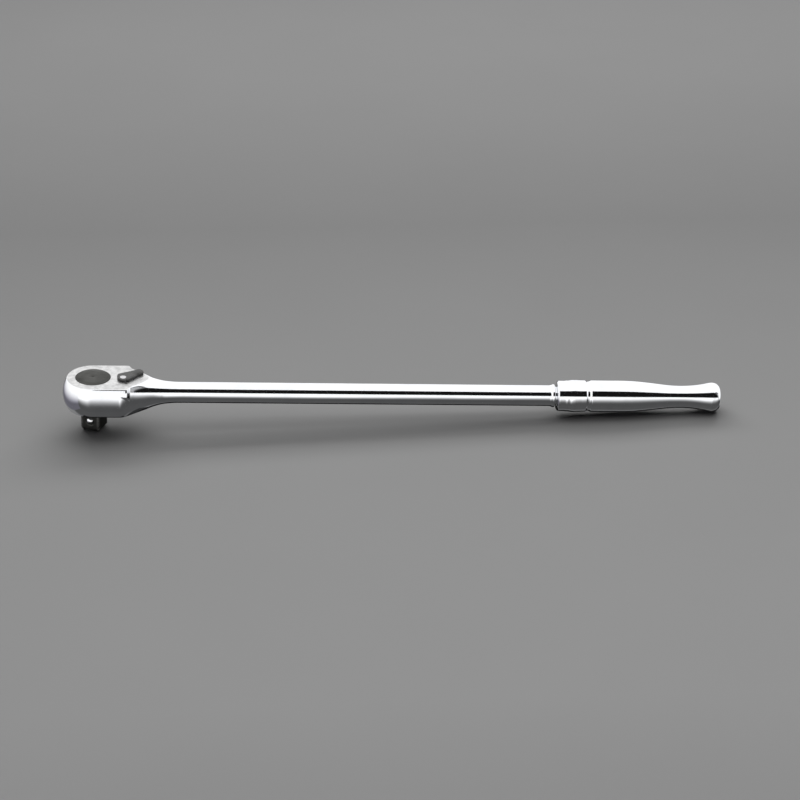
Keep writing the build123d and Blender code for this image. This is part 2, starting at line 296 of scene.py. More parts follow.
def handle_mesh():
    lat = np.radians(np.linspace(-90, 90, 151))
    lat[75] = 0.0
    m = len(lat)
    verts, faces = [], []

    def add(p):
        verts.append(p)
        return len(verts) - 1

    # nose: a ball turned about the drive axis, from +Y round the front to -Y
    cols = []
    for a in np.linspace(90, 270, 121):
        a = math.radians(a)
        col = []
        for f in lat:
            z = float(soft_flat(np.array(HEAD_R * math.sin(f))))
            c = HEAD_R * math.cos(f) if abs(abs(f) - math.pi / 2) > 1e-9 else 0.0
            col.append(add((c * math.cos(a), c * math.sin(a), AXIS_Z + z)))
        cols.append(col)
    for k in range(len(cols) - 1):
        for i in range(m - 1):
            if i == 0:
                faces.append((cols[k][0], cols[k][1], cols[k + 1][1]))
            elif i == m - 2:
                faces.append((cols[k][i], cols[k][i + 1], cols[k + 1][i]))
            else:
                faces.append((cols[k][i], cols[k][i + 1], cols[k + 1][i + 1], cols[k + 1][i]))
    # everything behind the drive axis: rings across the handle
    rows = []
    line = np.array(handle_profile())
    near = line[(line[:, 0] > 15) & (line[:, 0] < 26)]
    extra = [(x, float(np.interp(x, near[:, 0], near[:, 1]))) for x in (20.9, 21.2, 21.45, 21.6, 21.75, 22.2, 22.7, 23.1)]
    line = [tuple(v) for v in line if not 20.6 < v[0] < 23.3] + extra
    start = [i for i, v in enumerate(line) if v[0] <= 20.6 and i < 60][-1] + 1
    line = line[:start] + extra + line[start:-len(extra)]
    for x, r in line:
        if r < 1e-6:
            p = add((x, 0.0, AXIS_Z))
            rows.append([p] * (2 * m - 2))
            continue
        ring = []
        for side, seq in ((1, range(m)), (-1, range(m - 2, 0, -1))):
            for i in seq:
                f = lat[i]
                q = shoulder_radius(x, f, r)
                y = 0.0 if i in (0, m - 1) else side * q * math.cos(f)
                ring.append(add((x, y, AXIS_Z + float(soft_flat(np.array(q * math.sin(f)))))))
        rows.append(ring)
    n = 2 * m - 2
    for k in range(len(rows) - 1):
        for i in range(n):
            j = (i + 1) % n
            f = []
            for v in (rows[k][i], rows[k][j], rows[k + 1][j], rows[k + 1][i]):
                if v not in f:
                    f.append(v)
            if len(f) > 2:
                faces.append(tuple(f))
    ob = build("handle_forging", verts, faces)
    bore = [(3.3, 0.0), (3.3, 13.1), (16.0, 13.1), (16.0, 10.69), (17.2, 10.69), (17.2, 11.75), (18.2, 11.75),
            (18.2, 10.69), (19.52, 10.69), (19.72, 10.80), (19.95, 11.05), (21.0, 11.05), (21.0, 0.0)]
    cut(ob, *lathe(bore, 192))
    cut(ob, *prism(pear(0.06), [(-1.0, -0.55), (0.18, -0.16), (0.42, 0.0), (3.5, 0.0)]))
    side = [(8.6, 9.2), (10.3, 11.2), (12.4, 12.8), (13.5, 12.7), (15.4, 9.2), (16.1, 7.3), (20.0, 6.1)]
    cut(ob, *prism(side + [(x, -y) for x, y in reversed(side)], [(3.3, 0.0), (16.0, 0.0)]))
    cut(ob, *lathe([(3.3, 0.0), (3.3, 6.2), (16.0, 6.2), (16.0, 3.05), (19.5, 3.05), (19.9, 3.4), (21.0, 3.4), (21.0, 0.0)],
                   64, centre=(PIVOT[0], PIVOT[1], 0.0)))
    for x, y in SCREWS:
        cut(ob, *lathe([(2.5, 0.0), (2.5, 1.5), (9.6, 1.5), (9.6, 0.0)], 32, centre=(x, y, 0.0)))
    clean(ob, 30.0, weld=1e-6)
    return ob


handle = handle_mesh()
# where the head is ground flat, and where its edges have been rubbed
attribute(handle, "satin", lambda x, y, z, n: np.maximum(ramp(z, TOP - 0.14, TOP - 0.03), 1 - ramp(z, BOTTOM + 0.03, BOTTOM + 0.14)) * (x < 48))
attribute(handle, "rub", lambda x, y, z, n: (np.exp(-((z - 19.60) / 0.13) ** 2) + np.exp(-((z - 0.40) / 0.13) ** 2)) * (x < 45)
          + np.exp(-((x - 286.2) / 0.35) ** 2) * 0.6)


# ------------------------------------------------------------------ grip
def grip_profile():
    head = [(288.0, 8.8), (288.7, 9.5), (289.2, 9.6), (292.5, 9.6), (293.1, 9.66), (293.8, 9.8), (294.4, 9.82),
            (295.0, 9.78), (295.6, 9.82), (296.7, 10.06), (297.6, 10.16), (298.8, 10.2), (300.6, 10.15), (302.6, 10.05),
            (305.7, 10.0), (306.2, 9.72), (306.8, 9.3), (307.9, 9.25), (308.5, 9.5), (309.1, 9.88), (309.6, 10.0),
            (312.2, 10.0)]
    swell = [(312.2, 10.0), (322.0, 10.0), (331.0, 9.98), (336.9, 9.74), (342.6, 9.24), (348.3, 8.62),
             (354.0, 7.93), (359.8, 7.32), (366.0, 7.03), (371.2, 7.18), (377.0, 7.72), (380.8, 8.35),
             (384.0, 9.02), (386.2, 9.32), (388.0, 9.1), (389.6, 8.45), (390.7, 7.5)]
    line = round_line(head, 0.3, 4)
    line += hermite(swell, 0.0, -1.4, 8)[1:]
    line += [(390.93, 7.05), (391.05, 6.6), (391.1, 6.0), (391.1, 0.0)]
    bore = [(345.8, 0.0), (345.8, TANG_R - 0.01), (288.5, TANG_R - 0.01), (288.0, TANG_R + 0.4)]
    return bore + line


verts, faces = lathe(grip_profile(), 224, "X", (0.0, 0.0, AXIS_Z))
grip = build("turned_grip", verts, faces, 34.0)
attribute(grip, "satin", lambda x, y, z, n: x * 0)
attribute(grip, "rub", lambda x, y, z, n: 0.7 * np.exp(-((x - 288.8) / 0.25) ** 2) + 0.5 * np.exp(-((x - 298.9) / 0.9) ** 2)
          + 0.5 * np.exp(-((x - 309.7) / 0.3) ** 2) + 0.5 * np.exp(-((x - 386.4) / 1.1) ** 2))


# ------------------------------------------------------------------ gear, journals and square
def square_outline():
    h, c = 6.35, 8.3
    a0 = math.acos(h / c)
    pts = []
    for q in range(4):
        base = q * math.pi / 2
        for t in np.linspace(a0, math.pi / 2 - a0, 7):
            pts.append((c * math.cos(base + t), c * math.sin(base + t)))
    pts = round_outline(pts, 0.25, 3)
    # more points along each flat so the face shades evenly
    out = []
    for i, p in enumerate(pts):
        q = pts[(i + 1) % len(pts)]
        d = math.hypot(q[0] - p[0], q[1] - p[1])
        k = max(1, int(d / 0.9))
        out += [(p[0] + (q[0] - p[0]) * j / k, p[1] + (q[1] - p[1]) * j / k) for j in range(k)]
    c, s = math.cos(SQUARE_TURN), math.sin(SQUARE_TURN)
    return [(x * c - y * s, x * s + y * c) for x, y in out]


def gear_mesh():
    teeth = []
    for k in range(36):
        c = 10.0 * (k + 0.5)
        for r, o in ((11.8, -4.2), (12.7, -1.3), (12.7, 1.3), (11.8, 4.2)):
            a = math.radians(c + o)
            teeth.append((r * math.cos(a), r * math.sin(a)))
    band = prism(teeth, [(4.0, 0.12), (4.12, 0.0), (15.08, 0.0), (15.2, 0.12)])
    top = lathe([(14.0, 0.0), (14.0, 10.64), (19.74, 10.64), (19.84, 10.60), (20.00, 10.44), (20.07, 10.34),
                 (20.09, 10.20), (20.09, 9.86), (20.075, 9.82), (20.075, 9.74), (20.09, 9.70), (20.09, 7.0),
                 (20.09, 4.0), (20.09, 1.2), (20.05, 0.95), (19.84, 0.55), (19.72, 0.0)], 192)
    low = lathe([(5.0, 0.0), (5.0, 9.6), (0.30, 9.6), (0.10, 9.52), (0.02, 9.38), (0.0, 9.2), (0.0, 0.0)], 160)
    sq = square_outline()
    tip = prism(sq, [(1.5, 0.0), (-0.001, 0.0), (-2.0, 0.0), (-5.0, 0.0), (-8.0, 0.0), (-11.0, 0.0), (-12.9, 0.0),
                     (-13.3, 0.04), (-13.7, 0.22), (-14.2, 0.70), (-14.65, 1.20), (-14.9, 1.60), (-15.0, 2.0)])
    parts = [build(n, *p) for n, p in (("band", band), ("top", top), ("low", low), ("sq", tip))]
    gear = parts[0]
    for other in parts[1:]:
        mod = gear.modifiers.new("join", "BOOLEAN")
        mod.operation, mod.solver, mod.object = "UNION", "EXACT", other
        bpy.context.view_layer.update()
        me = bpy.data.meshes.new_from_object(gear.evaluated_get(bpy.context.evaluated_depsgraph_get()))
        gear.modifiers.clear()
        gear.data = me
        bpy.data.objects.remove(other)
    hole = [(-3.0, 0.0), (-3.0, 2.55), (5.62, 2.55), (5.80, 2.62), (6.08, 3.05), (6.30, 3.25), (6.50, 3.42), (10.0, 3.42), (10.0, 0.0)]
    hv, hf = lathe(hole, 72)
    cut(gear, [to_ball(v) for v in hv], hf)
    clean(gear, 28.0, weld=1e-6)
    gear.name = "drive_gear_and_square"
    gear.data.name = gear.name
    return gear


def to_ball(v):
    """From the ball bore's own frame (its axis is +Z there) to the row frame."""
    c, s = math.cos(BALL_DIR), math.sin(BALL_DIR)
    x, y, z = v
    return (c * z - s * y, s * z + c * y, BALL_Z + x)


gear = gear_mesh()


def square_wear(x, y, z, n):
    c, s = math.cos(-SQUARE_TURN), math.sin(-SQUARE_TURN)
    u, w = np.abs(x * c - y * s), np.abs(x * s + y * c)
    corner = ramp(np.minimum(u, w), 4.75, 5.5) * (z < -0.3)
    tip = ramp(-z, 13.0, 13.5) * (1 - ramp(-z, 13.6, 14.2))
    shoulder = (z < 0.06) * (z > -0.06) * ramp(np.hypot(x, y), 8.4, 9.4) * 0.5
    rim = ramp(np.hypot(x, y), 10.30, 10.60) * (z > 19.6)
    return np.maximum(np.maximum(corner * 0.7, tip * 0.4), np.maximum(shoulder, rim * 0.2))


attribute(gear, "rub", square_wear)

# detent ball
ball_pts = [(-2.5 * math.cos(t), 2.5 * math.sin(t)) for t in np.linspace(0, math.pi, 49)]
ball_pts[0], ball_pts[-1] = (-2.5, 0.0), (2.5, 0.0)
bv, bf = lathe(ball_pts, 72)
ball = build("detent_ball", [to_ball((x, y, z + BALL_C)) for x, y, z in bv], bf, 60.0)
attribute(ball, "rub", lambda x, y, z, n: x * 0)


# ------------------------------------------------------------------ reversing lever
def lever_mesh():
    pts = [(-7.3, 0.0), (-6.2, 2.9), (-4.3, 4.9), (0.6, 4.1), (5.6, 3.0), (9.4, 2.8), (11.0, 1.5),
           (11.0, -1.5), (9.4, -2.8), (5.6, -3.0), (0.6, -4.1), (-4.3, -4.9), (-6.2, -2.9)]
    pts = [(u * 0.992, w * 0.992) for u, w in pts][::-1]
    out = []
    ring = round_outline(pts, 0.8, 5)
    for i, p in enumerate(ring):
        q = ring[(i + 1) % len(ring)]
        k = max(1, int(math.hypot(q[0] - p[0], q[1] - p[1]) / 0.5))
        out += [(p[0] + (q[0] - p[0]) * j / k, p[1] + (q[1] - p[1]) * j / k) for j in range(k)]

    levels = [(0.0, 0.12), (0.10, 0.0), (0.58, 0.0), (0.70, 0.02), (0.80, 0.09), (0.90, 0.24), (0.97, 0.44), (1.0, 0.66)]
    verts, faces, n = [], [], len(out)
    z0 = 19.96
    for h, inset in levels:
        for u, w in inset_outline(out, inset):
            verts.append((u, w, z0 + (21.9 - z0) * h))
    for k in range(len(levels) - 1):
        for i in range(n):
            j = (i + 1) % n
            faces.append((k * n + i, k * n + j, (k + 1) * n + j, (k + 1) * n + i))
    faces.append(tuple(range(n - 1, -1, -1)))
    # top: a fine grid, so the painted highlight on the hub can be carried by it
    last = (len(levels) - 1) * n
    bm = bmesh.new()
    vs = [bm.verts.new(v) for v in verts]
    for f in faces:
        bm.faces.new([vs[i] for i in f])
    bm.faces.new([vs[last + i] for i in range(n)])
    for axis, marks in ((0, np.arange(-7.0, 11.0, 0.45)), (1, np.arange(-4.5, 4.6, 0.45))):
        for q in marks:
            cap = [f for f in bm.faces if min(v.co.z for v in f.verts) > 21.899]
            geom = cap + list({e for f in cap for e in f.edges}) + list({v for f in cap for v in f.verts})
            no = [0.0, 0.0, 0.0]
            no[axis] = 1.0
            bmesh.ops.bisect_plane(bm, geom=geom, plane_co=[q * v for v in no], plane_no=no)
    me = bpy.data.meshes.new("lever")
    bm.normal_update()
    bm.to_mesh(me)
    bm.free()
    me.transform(Matrix.Scale(MM, 4))
    ob = bpy.data.objects.new("lever_thumb_piece", me)
    bpy.context.scene.collection.objects.link(ob)
    clean(ob, 24.0)
    return ob


def lever_stem():
    line = round_line([(4.0, 0.0), (4.0, 3.0), (14.75, 3.0), (14.75, 2.5), (15.55, 2.5), (15.55, 3.0), (17.3, 3.0),
                       (17.3, 2.35), (18.3, 2.35), (18.3, 3.0), (20.2, 3.0), (20.2, 0.0)], 0.12, 3)
    ob = build("stem", *lathe(line, 64))
    bore = [(-1.8, 0.0), (-1.8, 1.15), (6.0, 1.15), (6.0, 0.0)]
    bv, bf = lathe(bore, 40, "X")
    cut(ob, [(-x, -y, z + 9.6) for x, y, z in bv], bf)
    return ob


lever = lever_mesh()
stem = lever_stem()
mod = lever.modifiers.new("join", "BOOLEAN")
mod.operation, mod.solver, mod.object = "UNION", "EXACT", stem
bpy.context.view_layer.update()
me = bpy.data.meshes.new_from_object(lever.evaluated_get(bpy.context.evaluated_depsgraph_get()))
lever.modifiers.clear()
lever.data = me
bpy.data.objects.remove(stem)
clean(lever, 24.0, weld=1e-6)
# a bright patch in the colour on the hub is a painted highlight; the stem under the lever is bare bright metal
attribute(lever, "painted_highlight_and_bare_stem", lambda x, y, z, n: 1 - ramp(np.hypot((x + 4.3) / 1.05, (y + 1.0) / 1.1), 1.3, 2.3) + (z < 19.9))
attribute(lever, "rub", lambda x, y, z, n: ramp(z, 21.2, 21.6) * (1 - np.abs(n[:, 2])) * 0.4)
# painted shade: a darker patch in the colour on the thumb end
attribute(lever, "painted_shade", lambda x, y, z, n: (1 - ramp(np.hypot((x - 6.0) / 1.8, (y + 1.5) / 1.05), 0.9, 1.9)) * (z > 21.0))
turn = Matrix.Translation((PIVOT[0] * MM, PIVOT[1] * MM, 0)) @ Matrix.Rotation(LEVER_TURN, 4, "Z")
lever.data.transform(turn)
lever.data.update()

# ------------------------------------------------------------------ cover plate
plate = build("cover_plate_face", *prism(pear(-0.01), [(3.2, 0.1), (3.1, 0.0), (0.42, 0.0), (0.28, 0.05), (0.2, 0.2)]))
cut(plate, *lathe([(-1.0, 0.0), (-1.0, 10.1), (0.05, 9.95), (0.45, 9.65), (5.0, 9.65), (5.0, 0.0)], 160))
for x, y in SCREWS:
    cut(plate, *lathe([(-1.0, 0.0), (-1.0, 3.2), (0.16, 3.02), (0.30, 2.86), (1.54, 1.6), (5.0, 1.6), (5.0, 0.0)], 64, centre=(x, y, 0.0)))
clean(plate, 28.0, weld=1e-6)
attribute(plate, "rub", lambda x, y, z, n: (z < 0.45) * ramp(np.hypot(x, y), 13.7, 14.3) * 0.6)


# ------------------------------------------------------------------ materials
def new_material(name):
    m = bpy.data.materials.new(name)
    m.use_nodes = True
    nt = m.node_tree
    nt.nodes.clear()
    out = nt.nodes.new("ShaderNodeOutputMaterial")
    bsdf = nt.nodes.new("ShaderNodeBsdfPrincipled")
    nt.links.new(bsdf.outputs[0], out.inputs["Surface"])
    return m, nt, bsdf


def node(nt, kind, **values):
    n = nt.nodes.new(kind)
    for k, v in values.items():
        if k in n.inputs:
            n.inputs[k].default_value = v
        else:
            setattr(n, k, v)
    return n


def noise(nt, vec, scale, detail=3.0, rough=0.55, stretch=None):
    if stretch:
        mp = node(nt, "ShaderNodeMapping")
        mp.inputs["Scale"].default_value = stretch
        nt.links.new(vec, mp.inputs["Vector"])
        vec = mp.outputs["Vector"]
    n = node(nt, "ShaderNodeTexNoise", Scale=scale, Detail=detail, Roughness=rough)
    nt.links.new(vec, n.inputs["Vector"])
    return n.outputs["Fac"]


def remap(nt, src, a, b, lo, hi):
    n = node(nt, "ShaderNodeMapRange")
    for k, v in zip(("From Min", "From Max", "To Min", "To Max"), (a, b, lo, hi)):
        n.inputs[k].default_value = v
    nt.links.new(src, n.inputs["Value"])
    return n.outputs["Result"]


def math_node(nt, op, a, b):
    n = node(nt, "ShaderNodeMath", operation=op)
    for i, v in enumerate((a, b)):
        if isinstance(v, (int, float)):
            n.inputs[i].default_value = v
        else:
            nt.links.new(v, n.inputs[i])
    return n.outputs[0]


def mix_colour(nt, fac, a, b):
    n = node(nt, "ShaderNodeMix", data_type="RGBA")
    if isinstance(fac, (int, float)):
        n.inputs[0].default_value = fac
    else:
        nt.links.new(fac, n.inputs[0])
    for i, v in ((6, a), (7, b)):
        if isinstance(v, tuple):
            n.inputs[i].default_value = (*v, 1.0)
        else:
            nt.links.new(v, n.inputs[i])
    return n.outputs[2]


def metal(name, colour, dark, rough, grain=0.0, worn=(0.62, 0.62, 0.62), worn_rough=0.22, rub=True, satin=None,
          scratch=0.5, lines=None, spots=0.0, painted_highlight_and_bare_stem=None, painted_shade=False):
    """Bare, plated or blackened metal: fine grain, hairline scratches, handling smudges and rubbed edges."""
    m, nt, bsdf = new_material(name)
    L = nt.links.new
    vec = node(nt, "ShaderNodeTexCoord").outputs["Object"]
    bsdf.inputs["Metallic"].default_value = 1.0
    smudge = noise(nt, vec, 70.0, 4.0, 0.6)
    fine = noise(nt, vec, 2600.0, 2.0, 0.6)
    hair = noise(nt, vec, 1.0, 2.0, 0.5, stretch=(260.0, 5200.0, 5200.0))
    hair2 = noise(nt, vec, 1.0, 2.0, 0.5, stretch=(3600.0, 420.0, 3600.0))
    # colour
    tone = remap(nt, smudge, 0.35, 0.7, 0.0, 1.0)
    col = mix_colour(nt, tone, colour, dark)
    if spots:
        fleck = remap(nt, noise(nt, vec, 900.0, 4.0, 0.7), 0.55, 0.75, 0.0, spots)
        col = mix_colour(nt, fleck, col, tuple(c * 0.55 for c in colour))
    # roughness
    r = remap(nt, smudge, 0.3, 0.75, rough * 0.8, rough * 1.45)
    r = math_node(nt, "ADD", r, remap(nt, hair, 0.55, 0.8, 0.0, rough * scratch))
    r = math_node(nt, "ADD", r, remap(nt, fine, 0.3, 0.8, 0.0, rough * 0.35))
    height = math_node(nt, "ADD", math_node(nt, "MULTIPLY", fine, 0.25 + grain), math_node(nt, "MULTIPLY", hair, 0.35 * scratch))
    height = math_node(nt, "ADD", height, math_node(nt, "MULTIPLY", hair2, 0.2 * scratch))
    if lines:
        sep = node(nt, "ShaderNodeSeparateXYZ")
        L(vec, sep.inputs[0])
        wave = math_node(nt, "SINE", math_node(nt, "MULTIPLY", sep.outputs["X"], lines[0]), 0.0)
        height = math_node(nt, "ADD", height, math_node(nt, "MULTIPLY", wave, lines[1]))
    if satin:
        at = node(nt, "ShaderNodeAttribute", attribute_name="satin").outputs["Fac"]
        blast = noise(nt, vec, 1500.0, 3.0, 0.65)
        mott = noise(nt, vec, 330.0, 3.0, 0.6)
        sat_col = mix_colour(nt, remap(nt, mott, 0.35, 0.7, 0.0, 1.0), satin[0], satin[1])
        col = mix_colour(nt, at, col, sat_col)
        sat_r = math_node(nt, "ADD", remap(nt, blast, 0.3, 0.75, satin[2] * 0.8, satin[2] * 1.2),
                          remap(nt, mott, 0.3, 0.7, -0.03, 0.04))
        mixr = node(nt, "ShaderNodeMix", data_type="FLOAT")
        L(at, mixr.inputs[0]); L(r, mixr.inputs[2]); L(sat_r, mixr.inputs[3])
        r = mixr.outputs[0]
        height = math_node(nt, "ADD", height, math_node(nt, "MULTIPLY", math_node(nt, "MULTIPLY", blast, at), 2.2))
    if rub:
        at = node(nt, "ShaderNodeAttribute", attribute_name="rub").outputs["Fac"]
        breakup = remap(nt, noise(nt, vec, 650.0, 4.0, 0.65), 0.35, 0.62, 0.0, 1.0)
        w = math_node(nt, "MULTIPLY", at, breakup)
        col = mix_colour(nt, w, col, worn)
        mixr = node(nt, "ShaderNodeMix", data_type="FLOAT")
        L(w, mixr.inputs[0]); L(r, mixr.inputs[2])
        mixr.inputs[3].default_value = worn_rough
        r = mixr.outputs[0]
    # painted shade: the colour darkens where the attribute is set
    if painted_shade:
        at = node(nt, "ShaderNodeAttribute", attribute_name="painted_shade").outputs["Fac"]
        col = mix_colour(nt, math_node(nt, "MULTIPLY", at, remap(nt, noise(nt, vec, 800.0, 3.0, 0.6), 0.3, 0.6, 0.6, 1.0)), col,
                         (0.035, 0.035, 0.034))
    # painted highlight: a bright patch of colour with low roughness where the attribute is set; also bare bright metal
    if painted_highlight_and_bare_stem:
        at = node(nt, "ShaderNodeAttribute", attribute_name="painted_highlight_and_bare_stem").outputs["Fac"]
        ragged = math_node(nt, "ADD", at, remap(nt, noise(nt, vec, 1400.0, 3.0, 0.6), 0.3, 0.7, -0.22, 0.22))
        w = remap(nt, ragged, 0.3, 0.7, 0.0, 1.0)
        col = mix_colour(nt, w, col, painted_highlight_and_bare_stem[0])
        mixr = node(nt, "ShaderNodeMix", data_type="FLOAT")
        L(w, mixr.inputs[0]); L(r, mixr.inputs[2])
        mixr.inputs[3].default_value = painted_highlight_and_bare_stem[1]
        r = mixr.outputs[0]
    L(col, bsdf.inputs["Base Color"])
    L(r, bsdf.inputs["Roughness"])
    bump = node(nt, "ShaderNodeBump", Strength=0.35, Distance=0.000012)
    L(height, bump.inputs["Height"])
    L(bump.outputs[0], bsdf.inputs["Normal"])
    return m


def rubber(name):
    m, nt, bsdf = new_material(name)
    vec = node(nt, "ShaderNodeTexCoord").outputs["Object"]
    n = noise(nt, vec, 900.0, 4.0, 0.6)
    nt.links.new(mix_colour(nt, n, (0.018, 0.018, 0.018), (0.045, 0.044, 0.042)), bsdf.inputs["Base Color"])
    nt.links.new(remap(nt, n, 0.3, 0.7, 0.55, 0.8), bsdf.inputs["Roughness"])
    bump = node(nt, "ShaderNodeBump", Strength=0.4, Distance=0.00003)
    nt.links.new(n, bump.inputs["Height"])
    nt.links.new(bump.outputs[0], bsdf.inputs["Normal"])
    return m


CHROME = metal("polished_chrome", (0.80, 0.81, 0.83), (0.72, 0.73, 0.755), 0.055, worn=(0.70, 0.70, 0.71), worn_rough=0.16,
               satin=((0.62, 0.62, 0.62), (0.41, 0.41, 0.41), 0.36))
GRIP = metal("grip_chrome", (0.80, 0.81, 0.83), (0.72, 0.73, 0.755), 0.06, worn=(0.70, 0.70, 0.71), worn_rough=0.17,
             lines=(9000.0, 0.25))
DARK = metal("dark_gear_steel", (0.055, 0.055, 0.051), (0.038, 0.038, 0.035), 0.38, grain=0.8, worn=(0.36, 0.355, 0.34),
             worn_rough=0.3, scratch=0.9, spots=0.5)
# dark lever steel, with a painted highlight on the hub and painted shade on the thumb end
LEVER = metal("lever_steel", (0.070, 0.070, 0.069), (0.054, 0.054, 0.053), 0.26, grain=0.5, worn=(0.42, 0.42, 0.42),
              worn_rough=0.24, scratch=0.8, spots=0.3, painted_highlight_and_bare_stem=((0.54, 0.54, 0.55), 0.14),
              painted_shade=True)
STEEL = metal("bearing_steel", (0.80, 0.80, 0.81), (0.72, 0.72, 0.73), 0.07, rub=False)
SPRING = metal("spring_steel", (0.42, 0.42, 0.43), (0.32, 0.32, 0.33), 0.25, rub=False)
PLATE = metal("cover_steel", (0.62, 0.62, 0.63), (0.52, 0.52, 0.53), 0.26, grain=0.6, worn=(0.72, 0.72, 0.72), scratch=1.0)
SCREW = metal("screw_steel", (0.16, 0.16, 0.16), (0.11, 0.11, 0.11), 0.32, rub=False, grain=0.5)
PAWL = metal("pawl_steel", (0.35, 0.35, 0.36), (0.26, 0.26, 0.27), 0.3, rub=False, grain=0.4)
BRASS = metal("washer_brass", (0.72, 0.53, 0.24), (0.6, 0.43, 0.2), 0.28, rub=False, grain=0.3)
RUBBER = rubber("seal_rubber")


def dress(ob, material):
    ob.data.materials.clear()
    ob.data.materials.append(material)
    for p in ob.data.polygons:
        p.material_index = 0


for ob, mat, body, cad, slot in (
    (handle, CHROME, "handle", "handle_body", "polished_chrome"),
    (grip, GRIP, "handle", "grip_sleeve", "grip_chrome"),
    (gear, DARK, "drive", "drive_gear", "dark_gear_steel"),
    (ball, STEEL, "drive_ball", "drive_detent_ball", "bearing_steel"),
    (lever, LEVER, "lever", "reversing_lever", "lever_steel"),
    (plate, PLATE, "handle", "cover_plate", "cover_steel"),
):
    dress(ob, mat)
    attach(ob, body)
    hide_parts(cad)

# the reflection cards light the metal only: nothing is thrown back from it on to the floor
for ob in (handle, grip, gear, plate):
    ob.visible_diffuse = False

for name, mat in (("drive_detent_spring", SPRING), ("gear_top_seal", RUBBER), ("gear_thrust_washer", BRASS),
                  ("cover_gasket", RUBBER), ("cover_screws", SCREW), ("pawl", PAWL), ("lever_seal_ring", RUBBER),
                  ("lever_retaining_clip", SPRING), ("pawl_plunger", STEEL), ("plunger_spring", SPRING)):
    dress(nodes[name], mat)

# ------------------------------------------------------------------ stage: floor, backdrop, soft boxes
TILT = math.radians(2.35)
FLOOR_N = Vector((-math.sin(TILT), 0.0, math.cos(TILT)))
low = min(FLOOR_N.dot(v) for v in [Vector((x, 0.0, z)) for x, z in ((6.7, -15.0), (386.2, AXIS_Z - 9.32))]) * MM


def stage_mesh(name, corners, material, **seen):
    me = bpy.data.meshes.new(name)
    me.from_pydata(corners, [], [tuple(range(len(corners)))])
    ob = bpy.data.objects.new(name, me)
    bpy.context.scene.collection.objects.link(ob)
    me.materials.append(material)
    for k, v in seen.items():
        setattr(ob, k, v)
    return ob


def floor_material():
    m, nt, bsdf = new_material("studio_floor")
    vec = node(nt, "ShaderNodeTexCoord").outputs["Object"]
    n = noise(nt, vec, 9.0, 3.0, 0.5)
    sep = node(nt, "ShaderNodeSeparateXYZ")
    nt.links.new(vec, sep.inputs[0])
    # the colour darkens towards the back: painted shade that evens out the stronger light from the back bank
    level = remap(nt, sep.outputs["Y"], -0.30, 0.30, 1.10, 0.54)
    tone = node(nt, "ShaderNodeVectorMath", operation="SCALE")
    nt.links.new(mix_colour(nt, n, (0.43, 0.43, 0.43), (0.45, 0.45, 0.45)), tone.inputs[0])
    nt.links.new(level, tone.inputs["Scale"])
    nt.links.new(tone.outputs[0], bsdf.inputs["Base Color"])
    bsdf.inputs["Roughness"].default_value = 0.9
    bsdf.inputs["Specular IOR Level"].default_value = 0.1
    return m


def glow(name, radiance):
    m = bpy.data.materials.new(name)
    m.use_nodes = True
    nt = m.node_tree
    nt.nodes.clear()
    out = nt.nodes.new("ShaderNodeOutputMaterial")
    em = nt.nodes.new("ShaderNodeEmission")
    nt.links.new(em.outputs[0], out.inputs["Surface"])
    if radiance is None:
        at = node(nt, "ShaderNodeAttribute", attribute_name="light")
        nt.links.new(at.outputs["Color"], em.inputs["Color"])
        em.inputs["Strength"].default_value = 1.0
    else:
        em.inputs["Strength"].default_value = radiance
    m.cycles.emission_sampling = "NONE"
    return m


def on_floor(x, y):
    """Height of the floor plane over a point, metres."""
    return (low - FLOOR_N.x * x) / FLOOR_N.z


S = 4.0
floor = stage_mesh("floor", [(x + 0.19, y, on_floor(x + 0.19, y)) for x, y in ((-S, -S), (S, -S), (S, S), (-S, S))],
                   floor_material(), visible_glossy=False)

# far off, the floor fades into the backdrop; seen by the camera only
def floor_fade():
    radii = np.concatenate((np.linspace(1.02, 1.5, 23), (2.6, S)))
    turns = [2 * math.pi * k / 96 for k in range(96)]
    pts, fade = [], []
    for r in radii:
        for t in turns:
            x, y = 0.19 + r * math.cos(t), r * math.sin(t)
            pts.append((x, y, on_floor(x, y) + 0.0005))
            fade.append(ramp(r, 1.02, 1.5))
    faces = [(i * 96 + k, i * 96 + (k + 1) % 96, (i + 1) * 96 + (k + 1) % 96, (i + 1) * 96 + k)
             for i in range(len(radii) - 1) for k in range(96)]
    me = bpy.data.meshes.new("floor_fade")
    me.from_pydata(pts, [], faces)
    at = me.attributes.new("fade", "FLOAT", "POINT")
    at.data.foreach_set("value", np.array(fade, np.float32))
    m = bpy.data.materials.new("floor_fade")
    m.use_nodes = True
    nt = m.node_tree
    nt.nodes.clear()
    out = nt.nodes.new("ShaderNodeOutputMaterial")
    clear = nt.nodes.new("ShaderNodeBsdfTransparent")
    em = nt.nodes.new("ShaderNodeEmission")
    em.inputs["Strength"].default_value = 0.27
    mix = nt.nodes.new("ShaderNodeMixShader")
    nt.links.new(node(nt, "ShaderNodeAttribute", attribute_name="fade").outputs["Fac"], mix.inputs[0])
    nt.links.new(clear.outputs[0], mix.inputs[1])
    nt.links.new(em.outputs[0], mix.inputs[2])
    nt.links.new(mix.outputs[0], out.inputs["Surface"])
    m.cycles.emission_sampling = "NONE"
    me.materials.append(m)
    ob = bpy.data.objects.new("floor_fade", me)
    bpy.context.scene.collection.objects.link(ob)
    ob.visible_glossy = ob.visible_diffuse = ob.visible_shadow = ob.visible_transmission = False


floor_fade()

# soft boxes round the stage, seen only by the polished surfaces
WHITE = 1.35
GAP = 0.009
LILAC = (0.97, 0.94, 1.09)
card_light = glow("card_light", None)


